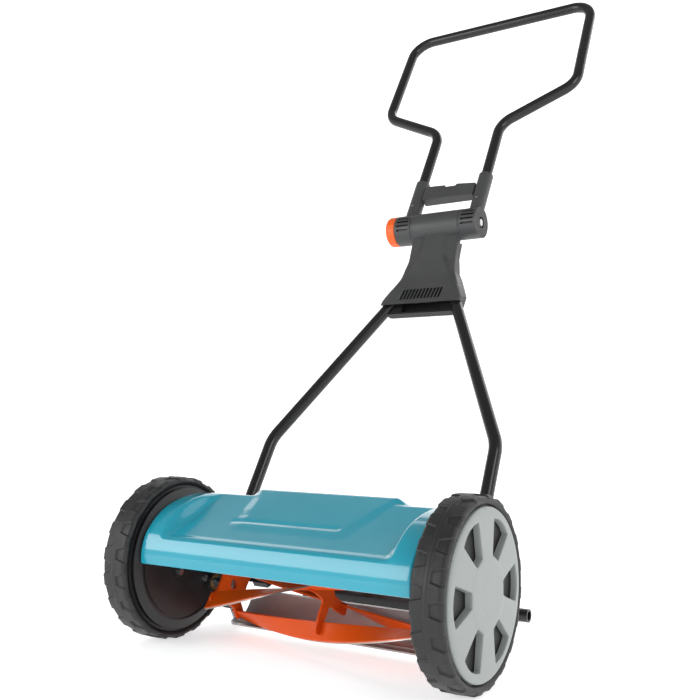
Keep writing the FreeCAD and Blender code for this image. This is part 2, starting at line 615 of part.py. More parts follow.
# ---------------------------------------------------------------- rear roller
def roller_group():
    y, z = ARM_PIVOT
    end = (ROLLER_Y, ROLLER_R)
    line = math.atan2(end[1] - z, end[0] - y)
    lock = (y + ARM_LOCK * math.cos(line), z + ARM_LOCK * math.sin(line))
    knee = (222.0, 66.0)
    arm = fused([
        cyl(ARM_IN, ARM_OUT, 14.0, y, z), cyl(ARM_IN, ARM_OUT, 14.0, *end),
        cyl(ARM_IN, ARM_OUT, 12.0, *knee),
        prism([(y + 2, z + 14), (knee[0] + 4, knee[1] + 12), (knee[0] - 4, knee[1] - 12),
               (y - 2, z - 14)], ARM_IN, ARM_OUT),
        prism([(knee[0] + 11, knee[1] + 5), (end[0] + 13, end[1] + 5), (end[0] - 13, end[1] - 5),
               (knee[0] - 11, knee[1] - 5)], ARM_IN, ARM_OUT),
        cyl(ARM_IN, ARM_OUT, 9.0, *lock)])
    arm = arm.cut([cyl(160, 200, 6.0 + FIT, y, z), cyl(160, 200, 3.0, *lock),
                   cyl(160, 200, ROLLER_AXLE_R, *end)])
    parts["left_roller_arm"], parts["right_roller_arm"] = arm, mirrored(arm)
    parts["roller_axle"] = fused([
        cyl(-ARM_OUT, ARM_OUT, ROLLER_AXLE_R, *end),
        cyl(-ROLLER_AXLE_END, ROLLER_AXLE_END, CATCHER_PIN_R, *end)]).cut(
            cyl(-ROLLER_AXLE_END - 1, ROLLER_AXLE_END + 1, 6.5, *end))
    parts["rear_roller"] = ring(-ROLLER_HALF, ROLLER_HALF, ROLLER_R, ROLLER_R - 3.0, *end)
    bush = ring(ROLLER_HALF - 12.0, ROLLER_HALF, ROLLER_R - 3.0, ROLLER_AXLE_R + FIT, *end)
    parts["roller_bushes"] = group([bush, mirrored(bush)])
    pivot = fused([cyl(ARM_IN - 4.0, ARM_IN - GAP, 10.0, y, z),
                   cyl(ARM_IN - 1.0, ARM_OUT + GAP, 6.0, y, z),
                   cyl(ARM_OUT, PLATE_OUT, 4.0, y, z)])
    parts["arm_pivot_bolts"] = group([pivot, mirrored(pivot)])
    bolt = headed_bolt(ARM_IN, PLATE_IN + 3.6, 3.0, 10.0, 4.0, lock)
    nut = hexagon(197.6, 201.6, 9.0, *lock)
    lock_bolt = bolt.fuse(nut)
    parts["arm_lock_bolts"] = group([lock_bolt, mirrored(lock_bolt)])


# ---------------------------------------------------------------- handle
def along_loop(x, s, off=0.0):
    """Point on the upper handle: s up from the hinge axis, off behind its plane."""
    sn, cs = math.sin(LOOP_LEAN), math.cos(LOOP_LEAN)
    return (x, HINGE_Y + s * sn + off * cs, HINGE_Z + s * cs - off * sn)


def lower_handle():
    left = tube([LOWER_END, LOWER_BEND, LOWER_TOP], 60.0, TUBE_R, TUBE_WALL)
    holes = [cyl(170, 200, 3.0, *at) for at in TUBE_BOLTS]
    left = left.cut(holes)
    solid_left = swept(rounded_path([LOWER_END, LOWER_BEND, LOWER_TOP], 60.0), TUBE_R + FIT)
    tubes = [solid_left, mirrored(solid_left)]

    # side profile of the joint housing: its middle line, front line and back line
    middle = [(307.0, 460.6), (347.0, 519.3), (HINGE_Y, HINGE_Z)]
    front = [(295.0, 468.5), (334.5, 526.5), (366.0, 606.0)]
    back = [(319.0, 452.5), (361.0, 514.0), (378.0, 560.0), (386.0, 578.0)]
    front_half = prism(middle + front[::-1], -80.0, 80.0)
    back_half = prism([middle[0], middle[1], (371.0, 580.0)] + back[::-1], -80.0, 80.0)

    def outlined(body, low, points):
        shape = [(x, z) for x, z in points] + [(-x, z) for x, z in reversed(points)]
        return body.common(polygon([(x, 250.0, z) for x, z in shape]).extrude(
            Vector(0, 200.0, 0))).cut(low)

    gone = cyl(-BARREL_HALF - 40, BARREL_HALF + 40, HINGE_R + 0.6, HINGE_Y, HINGE_Z)
    flare = [(70.0, 476.0), (70.0, 483.0), (62.0, 498.0), (46.0, 524.0), (41.5, 550.0),
             (41.5, 606.0)]
    low_flare = [(56.0, 455.0), (66.0, 464.0), (66.0, 483.0), (58.0, 498.0), (43.0, 524.0),
                 (38.0, 550.0), (38.0, 577.0)]
    barrel = cyl(-BARREL_HALF, BARREL_HALF, HINGE_R, HINGE_Y, HINGE_Z)
    shell_front = outlined(front_half, tubes, flare).fuse(barrel)
    pocket = prism([(middle[0][0] - 3, middle[0][1] + 12), (340.0, 521.0), (371.0, 577.0),
                    (374.0, 577.0), (352.0, 517.0), (middle[0][0] + 6, middle[0][1] - 4)],
                   -34.0, 34.0)
    shell_front = shell_front.cut([pocket, cyl(-100, 100, 6.0, HINGE_Y, HINGE_Z)] + tubes)
    slots = []
    for k in range(12):
        x = -33.0 + 6.0 * k
        slot = polygon([(x - 1.6, 280.0, 487.0), (x + 1.6, 280.0, 487.0),
                        (x + 3.2, 280.0, 501.0), (x, 280.0, 501.0)])
        slots.append(slot.extrude(Vector(0, 38.0, 0)))
    shell_front = shell_front.cut(slots)
    shell_back = outlined(back_half, [gone] + tubes, low_flare).cut([pocket] + tubes)
    nut_y, nut_z = math.cos(LOOP_LEAN), -math.sin(LOOP_LEAN)
    screws, bolts = [], []
    for x, y, z in ((-38.5, 345.5, 525.0), (38.5, 345.5, 525.0), (-36.0, 366.0, 566.0),
                    (36.0, 366.0, 566.0)):
        a = (x, y + 14 * nut_y, z + 14 * nut_z)
        b = (x, y - 8 * nut_y, z - 8 * nut_z)
        screws.append(bar(a, b, 1.8))
    for x in (-50.0, 50.0):
        y, z = 325.0, 487.5
        a = (x, y + 15 * nut_y, z + 15 * nut_z)
        b = (x, y - 10 * nut_y, z - 10 * nut_z)
        bolts.append(bar(a, b, 2.5))
    shell_front, shell_back = (s.cut(screws + bolts).removeSplitter()
                               for s in (shell_front, shell_back))
    parts["left_lower_tube"] = left.cut(bolts)
    parts["right_lower_tube"] = mirrored(parts["left_lower_tube"])
    parts["hinge_housing"] = shell_front
    parts["hinge_back_cover"] = shell_back
    parts["housing_screws"] = group(screws)
    parts["tube_screws"] = group(bolts)


def upper_handle():
    corners = [(SLEEVE_X, 226.0), (182.0, 295.5), (179.6, LOOP_TOP)]
    right_side = [along_loop(-x, s) for x, s in [(SLEEVE_X, 30.0)] + corners]
    left_side = [along_loop(x, s) for x, s in reversed([(SLEEVE_X, 30.0)] + corners)]
    parts["handle_loop"] = tube(right_side + left_side, 38.0, TUBE_R, TUBE_WALL)

    pieces = []
    for way in (1, -1):
        x0, x1 = sorted((way * (BARREL_HALF + GAP), way * RING_END))
        pieces.append(cyl(x0, x1, HINGE_R, HINGE_Y, HINGE_Z))
        x = way * SLEEVE_X
        pieces.append(bar(along_loop(x, 10.0), along_loop(x, SLEEVE_TOP), SLEEVE_R))
    bar_face = [(-46.0, 60.0), (46.0, 60.0), (47.0, 64.0), (47.0, 84.0), (12.0, 88.0),
                (10.0, 84.0), (-8.0, 84.0), (-10.0, 88.0), (-47.0, 90.0), (-47.0, 64.0)]
    back = Vector(0, math.cos(LOOP_LEAN), -math.sin(LOOP_LEAN))
    bridge = polygon([along_loop(x, s, -8.0) for x, s in bar_face]).extrude(back * 16.0)
    pieces.append(bridge)
    body = fused(pieces)
    barrel_space = cyl(-BARREL_HALF - GAP, BARREL_HALF + GAP, HINGE_R + 20, HINGE_Y, HINGE_Z)
    cuts = [barrel_space.common(cyl(-100, 100, 40.0, HINGE_Y, HINGE_Z)),
            cyl(-100, 100, 6.0, HINGE_Y, HINGE_Z)]
    for way in (1, -1):
        x = way * SLEEVE_X
        cuts.append(bar(along_loop(x, 29.0), along_loop(x, 130.0), TUBE_R))
    slots = []
    for way in (1, -1):
        for k in range(7):
            x0, x1 = sorted((way * 47.5, way * 69.0))
            slot = box(x0, x1, HINGE_Y - HINGE_R - 1, HINGE_Y - HINGE_R + 3.4,
                       HINGE_Z - 1.7, HINGE_Z + 1.7)
            slots.append(slot.rotate(Vector(0, HINGE_Y, HINGE_Z), X_AXIS, 6.0 - 17.0 * k))
    recess = cyl(RING_END - 4.5, RING_END + 1, 9.0, HINGE_Y, HINGE_Z)
    parts["hinge_bracket"] = body.cut(cuts + slots + [recess]).removeSplitter()

    pins = []
    for way in (1, -1):
        a, b = along_loop(way * SLEEVE_X, 46.0, -12.5), along_loop(way * SLEEVE_X, 46.0, 12.5)
        pins.append(bar(a, b, 2.0))
    for name in ("handle_loop", "hinge_bracket"):
        parts[name] = parts[name].cut(pins)
    parts["bracket_pins"] = group(pins)

    bolt = fused([cyl(-86.0, RING_END - 4.4, 5.9, HINGE_Y, HINGE_Z),
                  hexagon(RING_END - 4.4, RING_END - 0.4, 11.0, HINGE_Y, HINGE_Z)])
    parts["clamp_bolt"] = bolt
    knob = cyl(-KNOB_END, -RING_END - GAP, HINGE_R, HINGE_Y, HINGE_Z)
    grips = []
    for k in range(16):
        groove = cyl(-KNOB_END - 1, -RING_END - 2.5, 1.4, HINGE_Y, HINGE_Z + HINGE_R + 0.5)
        grips.append(groove.rotate(Vector(0, HINGE_Y, HINGE_Z), X_AXIS, 22.5 * k))
    inner = [cyl(-87.0, -70.0, 6.0, HINGE_Y, HINGE_Z),
             hexagon(-84.0, -RING_END, 17.0, HINGE_Y, HINGE_Z)]
    parts["clamp_knob"] = knob.cut(grips + inner)
    nut = hexagon(-84.0, -RING_END - 1.0, 17.0, HINGE_Y, HINGE_Z)
    parts["knob_nut"] = nut.cut(cyl(-90.0, -70.0, 5.9 + FIT, HINGE_Y, HINGE_Z))


# ---------------------------------------------------------------- build and write
wheel_set()
frame()
cover()
reel()
bed()
roller_group()
lower_handle()
upper_handle()

centre_y = (along_loop(0.0, LOOP_TOP)[1] + TUBE_R - WHEEL_R) / 2.0

os.makedirs("parts", exist_ok=True)
for name, shape in parts.items():
    shape.translate(Vector(0, -centre_y, 0))
    shape.exportStep("parts/%s.step" % name)
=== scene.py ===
import math

import bmesh
import bpy
import numpy as np
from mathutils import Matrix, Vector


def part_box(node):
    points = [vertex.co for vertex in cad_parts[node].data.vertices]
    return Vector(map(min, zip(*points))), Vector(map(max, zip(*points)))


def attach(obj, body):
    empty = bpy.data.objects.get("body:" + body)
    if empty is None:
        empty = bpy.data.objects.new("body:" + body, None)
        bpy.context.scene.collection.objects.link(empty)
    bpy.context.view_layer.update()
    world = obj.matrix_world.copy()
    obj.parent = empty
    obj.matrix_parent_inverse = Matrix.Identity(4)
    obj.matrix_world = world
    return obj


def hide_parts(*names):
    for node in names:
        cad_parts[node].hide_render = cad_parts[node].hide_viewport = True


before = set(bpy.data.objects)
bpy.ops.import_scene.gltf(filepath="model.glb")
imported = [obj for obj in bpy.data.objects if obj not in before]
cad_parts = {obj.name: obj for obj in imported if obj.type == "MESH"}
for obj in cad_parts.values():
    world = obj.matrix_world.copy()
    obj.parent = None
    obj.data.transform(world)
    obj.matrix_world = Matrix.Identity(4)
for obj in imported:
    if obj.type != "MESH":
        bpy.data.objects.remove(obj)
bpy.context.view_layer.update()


# ---- Side plates, cross-member and tie rod
# Two dished plates of glass-filled nylon close the gears in. A steel cross-member and a tie
# rod, both powder coated, hold them apart, and zinc bolts hold everything together.
MM = 0.001


def mix_of(tree, factor, first, second):
    """Colour that goes from the first to the second as the factor goes from 0 to 1."""
    mix = tree.nodes.new("ShaderNodeMix")
    mix.data_type = "RGBA"
    tree.links.new(factor, mix.inputs["Factor"])
    for socket, value in ((mix.inputs["A"], first), (mix.inputs["B"], second)):
        if isinstance(value, tuple):
            socket.default_value = (*value, 1.0)
        else:
            tree.links.new(value, socket)
    return mix.outputs["Result"]


def spread(tree, value, low, high, to_low, to_high):
    """Straight-line remap of one range onto another, held at its ends."""
    remap = tree.nodes.new("ShaderNodeMapRange")
    tree.links.new(value, remap.inputs["Value"])
    for name, number in (("From Min", low), ("From Max", high), ("To Min", to_low),
                         ("To Max", to_high)):
        remap.inputs[name].default_value = number
    return remap.outputs["Result"]


def cloud(tree, size_mm, detail=3.0, stretch=(1.0, 1.0, 1.0)):
    """Noise in object space whose cells are about size_mm, drawn out along the axes given."""
    place = tree.nodes.new("ShaderNodeTexCoord")
    turn = tree.nodes.new("ShaderNodeMapping")
    turn.inputs["Scale"].default_value = [1000.0 / (size_mm * s) for s in stretch]
    noise = tree.nodes.new("ShaderNodeTexNoise")
    noise.inputs["Detail"].default_value = detail
    noise.inputs["Scale"].default_value = 1.0
    tree.links.new(place.outputs["Object"], turn.inputs["Vector"])
    tree.links.new(turn.outputs["Vector"], noise.inputs["Vector"])
    return noise.outputs["Fac"]


def finish_of(name, colour, worn, rough, metal=0.0, grain=0.5, depth=0.03, stretch=(1, 1, 1),
              drift=40.0, specular=0.5, coat=0.0, coat_rough=0.1, cover=0.35):
    """Surface whose colour drifts between two tones over drift mm, with a fine grain of the
    size and depth given in its bump, and gloss that follows both."""
    material = bpy.data.materials.new(name)
    material.use_nodes = True
    tree = material.node_tree
    shader = tree.nodes["Principled BSDF"]
    slow, fine = cloud(tree, drift), cloud(tree, grain, 2.0, stretch)
    patch = spread(tree, slow, 0.35, 0.7, 0.0, cover)
    speck = spread(tree, fine, 0.3, 0.75, 0.0, cover * 0.8)
    base = mix_of(tree, speck, mix_of(tree, patch, colour, worn), worn)
    tree.links.new(base, shader.inputs["Base Color"])
    gloss = tree.nodes.new("ShaderNodeMath")
    gloss.operation = "ADD"
    tree.links.new(spread(tree, slow, 0.3, 0.7, rough[0], rough[1]), gloss.inputs[0])
    tree.links.new(spread(tree, fine, 0.3, 0.7, -0.03, 0.03), gloss.inputs[1])
    tree.links.new(gloss.outputs[0], shader.inputs["Roughness"])
    bump = tree.nodes.new("ShaderNodeBump")
    bump.inputs["Strength"].default_value = 0.5
    bump.inputs["Distance"].default_value = depth * MM
    tree.links.new(fine, bump.inputs["Height"])
    tree.links.new(bump.outputs["Normal"], shader.inputs["Normal"])
    shader.inputs["Metallic"].default_value = metal
    shader.inputs["Specular IOR Level"].default_value = specular
    shader.inputs["Coat Weight"].default_value = coat
    shader.inputs["Coat Roughness"].default_value = coat_rough
    return material


def dress(material, *nodes):
    """Gives CAD nodes a finish through their own material slots."""
    for node in nodes:
        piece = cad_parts[node]
        if not piece.material_slots:
            piece.data.materials.append(material)
        for socket in piece.material_slots:
            socket.material = material


plate_black = finish_of("moulded_plate_black", (0.012, 0.012, 0.013), (0.03, 0.03, 0.032),
                        (0.32, 0.45), grain=0.9, depth=0.05)
powder_black = finish_of("powder_coat_black", (0.013, 0.013, 0.014), (0.026, 0.026, 0.028),
                         (0.28, 0.4), grain=1.6, depth=0.06, coat=0.25)
zinc = finish_of("zinc_plate", (0.62, 0.63, 0.64), (0.42, 0.43, 0.44), (0.22, 0.38), metal=1.0,
                 grain=0.6, depth=0.02, drift=6.0)
dress(plate_black, "left_side_plate", "right_side_plate")
dress(powder_black, "rear_cross_member", "front_tie_rod")
dress(zinc, "plate_bolts", "frame_bolts", "cover_screws")


# ---- Axles and reel bearings
# Stub axles turned from steel and blackened, each with a bolted flange, with bright washers,
# and sintered bronze bushes pressed into the plates for the reel.
turned_steel = finish_of("turned_steel", (0.55, 0.55, 0.56), (0.38, 0.38, 0.39), (0.2, 0.32),
                         metal=1.0, grain=0.35, depth=0.02, stretch=(0.25, 3, 3), drift=12.0)
bronze = finish_of("sintered_bronze", (0.42, 0.27, 0.12), (0.3, 0.19, 0.09), (0.35, 0.5),
                   metal=1.0, grain=0.3, depth=0.02, drift=5.0)
black_oxide = finish_of("black_oxide_steel", (0.03, 0.03, 0.032), (0.055, 0.055, 0.058),
                        (0.34, 0.46), metal=0.6, grain=0.5, depth=0.02, drift=10.0)
dress(black_oxide, "left_axle", "right_axle")
dress(turned_steel, "axle_washers")
dress(bronze, "reel_bearings")


# ---- Wheel rims, bushes and circlips
# The rims are black moulded nylon with the internal ring gear; a pale acetal bush runs on
# the axle, behind a spring steel circlip.
AXLE_Z = sum(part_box("left_tyre")[k].z for k in (0, 1)) / 2
AXLE_Y = sum(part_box("left_tyre")[k].y for k in (0, 1)) / 2
rim_black = finish_of("moulded_rim_black", (0.014, 0.014, 0.015), (0.03, 0.03, 0.032),
                      (0.36, 0.5), grain=0.8, depth=0.04)
acetal = finish_of("acetal_bush", (0.78, 0.77, 0.72), (0.66, 0.65, 0.6), (0.3, 0.42), grain=0.7)
sprung = finish_of("spring_steel", (0.3, 0.3, 0.31), (0.2, 0.2, 0.21), (0.25, 0.4), metal=1.0,
                   grain=0.4, drift=8.0)
dress(rim_black, "left_rim", "right_rim")
dress(acetal, "left_bush", "right_bush", "roller_bushes")
dress(sprung, "axle_circlips", "pinion_circlips")


# ---- Tyres
# Ribbed rubber rings snapped over the rims. Two rows of shallow pockets, narrow towards a
# centre rib and open at the shoulder, leave the tread blocks standing between them.
TYRE_MID = 224.85            # distance of the centre rib from the middle of the machine
TREAD_R = 108.8
POCKETS = 20                 # in each row
POCKET_HALF = 5.6            # half its width beside the rib
POCKET_FLARE = 0.27          # how fast that grows outwards
RIB_HALF = 4.5


def soft_step(value, low, high):
    """0 below low, 1 above high, and a smooth S between."""
    t = np.clip((value - low) / (high - low), 0.0, 1.0)
    return t * t * (3.0 - 2.0 * t)


def along(points, count):
    """Points evenly spaced along a broken line, corners kept only roughly."""
    points = np.asarray(points, float)
    run = np.concatenate([[0.0], np.cumsum(np.linalg.norm(np.diff(points, axis=0), axis=1))])
    at = np.linspace(0.0, run[-1], count)
    return np.stack([np.interp(at, run, points[:, k]) for k in range(points.shape[1])], -1)


def faces_of(grid, start, wrap_u, wrap_v):
    """Each four neighbours of a grid of points as a face, numbered from start."""
    number = start + np.arange(grid.shape[0] * grid.shape[1]).reshape(grid.shape[:2])
    if wrap_u:
        number = np.concatenate([number, number[:1]], 0)
    if wrap_v:
        number = np.concatenate([number, number[:, :1]], 1)
    quads = [number[:-1, :-1], number[1:, :-1], number[1:, 1:], number[:-1, 1:]]
    return np.stack(quads, -1).reshape(-1, 4)


def skin(name, grids, body, stands_for, material, wrap_u=False, wrap_v=False, marks=None,
         crease=38.0):
    """Mesh through grids of points in mm: wrap_u and wrap_v join the last row or column of
    each to its first, points that meet are merged, and edges over the crease angle stay
    sharp."""
    grids = grids if isinstance(grids, list) else [grids]
    starts = np.cumsum([0] + [g.shape[0] * g.shape[1] for g in grids])
    points = np.concatenate([g.reshape(-1, 3) for g in grids]) * MM
    quads = np.concatenate([faces_of(g, k, wrap_u, wrap_v) for g, k in zip(grids, starts)])
    mesh = bpy.data.meshes.new(name)
    mesh.from_pydata(points.tolist(), [], quads.tolist())
    for label, values in (marks or {}).items():
        mesh.attributes.new(label, "FLOAT", "POINT").data.foreach_set(
            "value", np.asarray(values, np.float32).ravel())
    shell = bmesh.new()
    shell.from_mesh(mesh)
    bmesh.ops.remove_doubles(shell, verts=shell.verts, dist=2e-6)
    bmesh.ops.dissolve_degenerate(shell, edges=shell.edges, dist=1e-7)
    bmesh.ops.recalc_face_normals(shell, faces=shell.faces)
    shell.to_mesh(mesh)
    shell.free()
    mesh.polygons.foreach_set("use_smooth", np.ones(len(mesh.polygons), bool))
    mesh.set_sharp_from_angle(angle=math.radians(crease))
    mesh.materials.append(material)
    piece = bpy.data.objects.new(name, mesh)
    bpy.context.scene.collection.objects.link(piece)
    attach(piece, body)
    if stands_for:
        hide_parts(*stands_for)
    return piece


def round_axis(x, radius, angle, centre_y, centre_z):
    """Grid of points at the angle given about an axis along X: angle 0 points forwards and
    grows downwards, centre in metres, the rest in mm."""
    x, radius, angle = np.broadcast_arrays(x, radius, angle)
    return np.stack([x, centre_y / MM - radius * np.cos(angle),
                     centre_z / MM - radius * np.sin(angle)], -1)


def tyre_grid(side):
    """Angle round the tyre by way round its section. The tread sinks where the angle and
    the distance from the rib fall inside a tapering pocket, a little more along its outline,
    slightly between the pockets, and in a thin groove on each side of the rib."""
    section = along([(208.6, 97.4), (205.6, 101.0), (205.0, 103.4), (205.5, 106.2),
                     (207.0, 108.0), (209.2, 108.8), (240.2, 108.8), (242.6, 107.9),
                     (244.2, 106.0), (244.7, 103.4), (244.3, 100.6), (242.0, 97.4),
                     (208.6, 97.4)], 72)[:-1]
    angle = np.linspace(0.0, 2 * np.pi, POCKETS * 40, endpoint=False)[:, None]
    x, radius = section[None, :, 0], section[None, :, 1]
    away = np.abs(x - TYRE_MID)
    row = np.where(x > TYRE_MID, 0.5, 0.0)
    pitch = 2 * np.pi * TREAD_R / POCKETS
    turn = angle * POCKETS / (2 * np.pi) + row
    across = (turn - np.floor(turn) - 0.5) * pitch
    half = POCKET_HALF + (away - RIB_HALF) * POCKET_FLARE
    beside_rib = soft_step(away, 4.0, 5.2)
    pocket = soft_step(half - np.abs(across), -0.5, 0.6) * beside_rib
    outline = np.exp(-((half - np.abs(across)) / 0.9) ** 2) * beside_rib
    groove = np.exp(-((away - 3.1) / 0.55) ** 2) * soft_step(radius, 105, 108)
    tread = soft_step(radius, 100.5, 106.5)
    worn = soft_step(np.abs(across), half + 0.5, half + 5.0) * (away > 4)
    sunk = radius - tread * (2.0 * pocket + 0.5 * outline + 0.35 * worn) - 0.9 * groove
    return round_axis(side * np.broadcast_to(x, sunk.shape), sunk, angle, AXLE_Y, AXLE_Z)


rubber = finish_of("tyre_rubber", (0.018, 0.018, 0.019), (0.034, 0.034, 0.035), (0.42, 0.58),
                   grain=0.7, depth=0.05, drift=25.0, specular=0.45)
for side, label in ((1, "left"), (-1, "right")):
    skin("ribbed_tyre_" + label, tyre_grid(side), label + "_wheel", [label + "_tyre"],
         rubber, wrap_u=True, wrap_v=True)


# ---- Hubcaps
# Satin grey caps moulded in one piece and clipped through the rim. Six windows with walls
# drawn down to the web, and a face that falls gently from the middle to the rim.
CAP_R = 95.6
WINDOW_MID = 62.0            # distance of each window's middle from the axle
WEB_X = 239.0                # where the windows' walls stand on the web
FACE_FROM = 2.4              # from a window's wall to where the face is flat again


def hubcap_grid(side, turn):
    """One sixth of the cap, in rays from the middle of its window: each climbs the window's
    wall, goes over the rounded edge and runs along the domed face to the sixth's own border.
    A fine ring is sunk round the middle of the cap."""
    window = np.array([(42.6, -8.0), (79.6, -21.4), (83.6, -10.6), (84.8, 0.0), (83.6, 10.6),
                       (79.6, 21.4), (42.6, 8.0), (42.6, 0.0)])
    outline = along(np.concatenate([window, window[:1]]), 721)[:-1]
    weight = np.exp(-np.linspace(-3, 3, 37) ** 2)
    weight /= weight.sum()
    padded = np.concatenate([outline[-18:], outline, outline[:18]])
    outline = np.stack([np.convolve(padded[:, k], weight, "valid") for k in (0, 1)], -1)
    reach = outline - (WINDOW_MID, 0.0)
    bearing = np.arctan2(reach[:, 1], reach[:, 0])
    order = np.argsort(bearing)
    corner = np.arctan2(CAP_R * np.sin(np.pi / 6), CAP_R * np.cos(np.pi / 6) - WINDOW_MID)
    rays = np.concatenate([np.linspace(-np.pi, np.pi, 161), [corner, -corner]])
    rays = np.unique(rays.round(9))
    near = np.interp(rays, bearing[order], np.hypot(*reach[order].T), period=2 * np.pi)
    c, s = np.cos(rays), np.sin(rays)
    tilt = math.tan(math.pi / 6)
    lean = np.abs(s) - tilt * c
    with np.errstate(divide="ignore", invalid="ignore"):
        to_side = np.where(lean > 1e-9, tilt * WINDOW_MID / lean, 1e9)
    to_rim = -WINDOW_MID * c + np.sqrt((WINDOW_MID * c) ** 2 + CAP_R ** 2 - WINDOW_MID ** 2)
    near, far = near[:, None], np.minimum(to_side, to_rim)[:, None]
    edge_out = np.array([0.0, 0.3, 0.6, 1.0, 1.8])
    edge_drop = np.array([3.2, 1.2, 0.35, 0.06])
    face = near + FACE_FROM + (far - near - FACE_FROM) * np.linspace(0, 1, 26)
    distance = np.concatenate([near + edge_out, face], 1)
    a, b = WINDOW_MID + distance * c[:, None], distance * s[:, None]
    radius = np.hypot(a, b)
    dome = np.interp(radius, [0, 37, 40, 45, 82, 90.0, 93.2, 95.0, 95.6],
                     [248.3, 248.3, 248.1, 247.6, 246.6, 246.2, 245.6, 244.7, 243.4])
    height = dome - 0.22 * np.exp(-((radius - 22.0) / 1.1) ** 2)
    height[:, 0] = WEB_X
    height[:, 1:5] = dome[:, 1:5] - edge_drop
    spoke = np.arctan2(b, a) + turn
    return np.stack([side * height, AXLE_Y / MM - radius * np.cos(spoke),
                     AXLE_Z / MM - radius * np.sin(spoke)], -1)


def hubcap_lip(side):
    """The cap's outer wall, a short ring from the edge of the face back to the rim."""
    angle = np.linspace(0, 2 * np.pi, 241)[:, None]
    section = along([(243.4, CAP_R), (239.2, CAP_R), (239.2, 93.4), (243.0, 93.4)], 10)
    return round_axis(side * section[None, :, 0], section[None, :, 1], angle, AXLE_Y, AXLE_Z)


satin_grey = finish_of("satin_grey_cap", (0.31, 0.335, 0.33), (0.35, 0.375, 0.37), (0.34, 0.42),
                       grain=0.6, depth=0.015, drift=60.0, specular=0.45)
for side, label in ((1, "left"), (-1, "right")):
    sixths = [hubcap_grid(side, math.radians(60 * k)) for k in range(6)]
    skin("hubcap_" + label, sixths + [hubcap_lip(side)], label + "_wheel", [label + "_hubcap"],
         satin_grey)


# ---- Reel
# Four hardened blades wound into a quarter turn and welded to three pressed spiders, painted
# together in orange red, on two steel stub shafts. The ground edges stay bright.
REEL_Y, REEL_Z = (sum(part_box("reel_bearings")[k][axis] for k in (0, 1)) / 2 for axis in (1, 2))
REEL_R = 57.0
CUT = 330.0
BLADE_TURN = 99.7            # degrees from one end of the cut to the other
BLADE_AT = 22.1              # where the first blade is at the middle of the cut
LEAN_MID, LEAN_END = -4.0, 22.0


def painted_blade(name):
    """Orange red enamel that gives way to ground steel where the mark is 1."""
    material = finish_of(name, (0.82, 0.10, 0.004), (0.70, 0.075, 0.003), (0.3, 0.42),
                         grain=1.1, depth=0.05, drift=30.0, specular=0.3)
    tree = material.node_tree
    shader = tree.nodes["Principled BSDF"]
    mark = tree.nodes.new("ShaderNodeAttribute")
    mark.attribute_name = "ground"
    paint = shader.inputs["Base Color"].links[0].from_socket
    bare = mix_of(tree, cloud(tree, 1.5, 4.0, (0.3, 2, 2)), (0.62, 0.58, 0.54), (0.42, 0.38, 0.35))
    tree.links.new(mix_of(tree, mark.outputs["Fac"], paint, bare), shader.inputs["Base Color"])
    tree.links.new(mark.outputs["Fac"], shader.inputs["Metallic"])
    return material


def blade_grid(index):
    """Station along the cut by way round the strip's section. The section turns evenly with
    the station about the reel axis, and its lean off the radius grows along it."""
    section = along([(0.0, 0.0), (0.15, 0.45), (1.9, 2.85), (2.3, 3.0), (24.7, 3.0), (25.0, 2.7),
                     (25.0, 0.3), (24.7, 0.0), (0.3, 0.0), (0.0, 0.0)], 52)[:-1]
    x = np.linspace(-CUT / 2, CUT / 2, 181)[:, None]
    phi = np.radians(BLADE_AT + BLADE_TURN * x / CUT + 90.0 * index)
    lean = phi + np.radians(LEAN_END * 2 * x / CUT + LEAN_MID)
    depth, side = section[None, :, 0], section[None, :, 1]
    y = REEL_Y / MM - REEL_R * np.sin(phi) + depth * np.sin(lean) - side * np.cos(lean)
    z = REEL_Z / MM - REEL_R * np.cos(phi) + depth * np.cos(lean) + side * np.sin(lean)
    strip = np.stack([np.broadcast_to(x, y.shape), y, z], -1)
    ground = np.broadcast_to(1.0 - soft_step(depth, 0.7, 1.3), y.shape)
    return strip, ground


def closed_ends(grid):
    """The grid with its first and last rows drawn together to a point."""
    ends = [np.repeat(row.mean(0)[None], grid.shape[1], 0)[None] for row in (grid[0], grid[-1])]
    return np.concatenate([ends[0], grid, ends[1]])


blade_orange = painted_blade("reel_orange")
for k in range(4):
    strip, ground = blade_grid(k)
    ground = np.concatenate([ground[:1] * 0, ground, ground[:1] * 0])
    skin("helical_blade_%d" % (k + 1), closed_ends(strip), "reel", ["blade_%d" % (k + 1)],
         blade_orange, wrap_v=True, marks={"ground": ground}, crease=25.0)
spider_orange = finish_of("spider_orange", (0.82, 0.10, 0.004), (0.70, 0.075, 0.003),
                          (0.3, 0.42), grain=1.1, depth=0.05, drift=30.0, specular=0.3)
gear_steel = finish_of("sintered_gear_steel", (0.25, 0.25, 0.26), (0.16, 0.16, 0.17),
                       (0.3, 0.45), metal=1.0, grain=0.4, drift=6.0)
dress(spider_orange, "spider_left", "spider_centre", "spider_right")
dress(turned_steel, "reel_stubs")
dress(gear_steel, "left_pinion", "right_pinion", "drive_pawls")


# ---- Bed
# A carrier of curved sheet steel behind the reel, brushed and lacquered, with the hardened
# knife screwed under its foot and a coil spring on each adjuster.
brushed = finish_of("brushed_bed_steel", (0.62, 0.585, 0.57), (0.5, 0.47, 0.455), (0.34, 0.5),
                    metal=0.15, grain=0.5, depth=0.03, stretch=(12, 1, 1), drift=35.0)
knife_steel = finish_of("ground_knife_steel", (0.5, 0.49, 0.48), (0.3, 0.29, 0.28),
                        (0.24, 0.36), metal=1.0, grain=0.4, depth=0.02, stretch=(14, 1, 1))
dress(brushed, "bed_carrier")
dress(knife_steel, "bed_knife")
dress(zinc, "knife_screws", "adjuster_screws")


